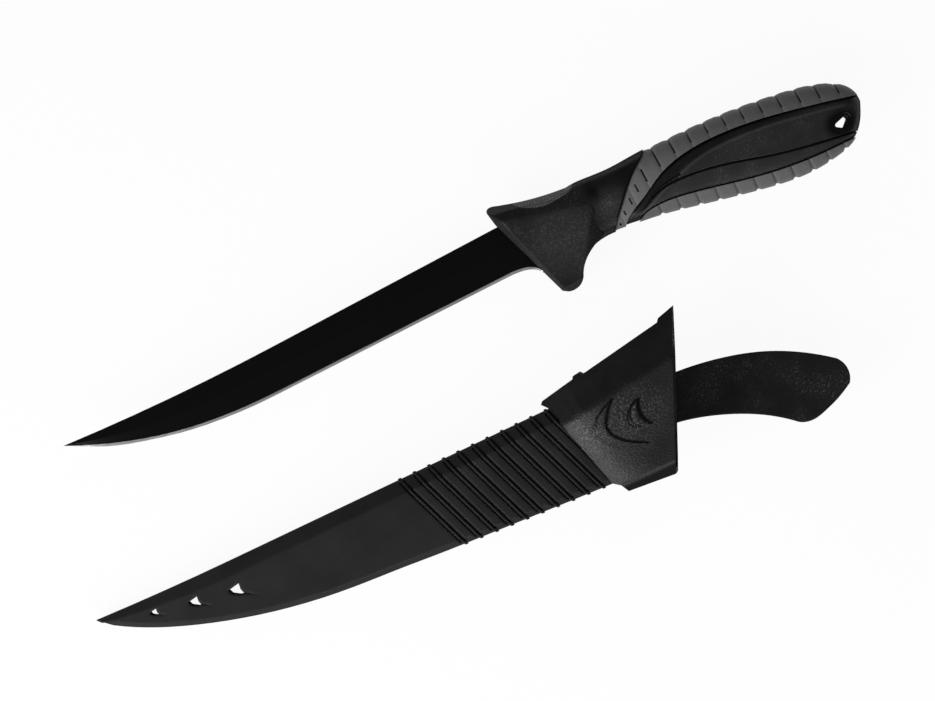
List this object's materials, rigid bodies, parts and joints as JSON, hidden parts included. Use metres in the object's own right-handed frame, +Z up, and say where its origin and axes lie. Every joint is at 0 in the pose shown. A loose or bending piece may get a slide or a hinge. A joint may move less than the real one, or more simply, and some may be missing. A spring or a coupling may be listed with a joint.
{
  "type": "fillet knife with sheath",
  "caption": "Fillet knife with a slim upswept blade, spurred guard and soft-banded grip, lying beside its ribbed moulded sheath with a flared collar and belt clip.",
  "frame": {"origin": "centre of the whole part's bounding box in plan, on the surface that it lies on", "axes": "+X from the blade's tip towards the handle's butt, +Y from the sheath towards the knife and from the cutting edge towards the spine, +Z up"},
  "size_m": [0.331, 0.122, 0.0352],
  "materials": {
    "blade_black": "satin black coating over steel, bare ground line along the edge",
    "handle_black": "fine grained moulded black",
    "grip_grey": "soft grey rubber with cross grooves",
    "pad_grey": "soft grey rubber with a fine dot texture",
    "sheath_black": "fine grained moulded black",
    "collar_black": "leather-like fine grain, moulded black",
    "clip_black": "leather-like fine grain, moulded black",
    "rivet_steel": "satin"
  },
  "bodies": {
    "knife": {"blade": "blade_black", "handle_core": "handle_black", "spine_grip": "grip_grey", "belly_grip": "grip_grey", "thumb_pad": "pad_grey"},
    "sheath": {"sheath_front": "sheath_black", "sheath_back": "sheath_black", "sheath_collar": "collar_black", "belt_clip": "clip_black", "clip_rivets": "rivet_steel"},
    "clip_leg": {"clip_leg": "clip_black"}
  },
  "joints": [
    {"name": "sheath_draw", "type": "slide", "parent": "knife", "child": "sheath", "axis": [-1, 0, 0], "range_m": [0, 0.19]},
    {"name": "clip_flex", "type": "hinge", "parent": "sheath", "child": "clip_leg", "pos_m": [0.10455, -0.04898, 0.00142], "axis": [-0.3622, -0.9317, -0.0265], "range_deg": [0, 4], "stiffness_Nm_per_rad": 1.5}
  ]
}
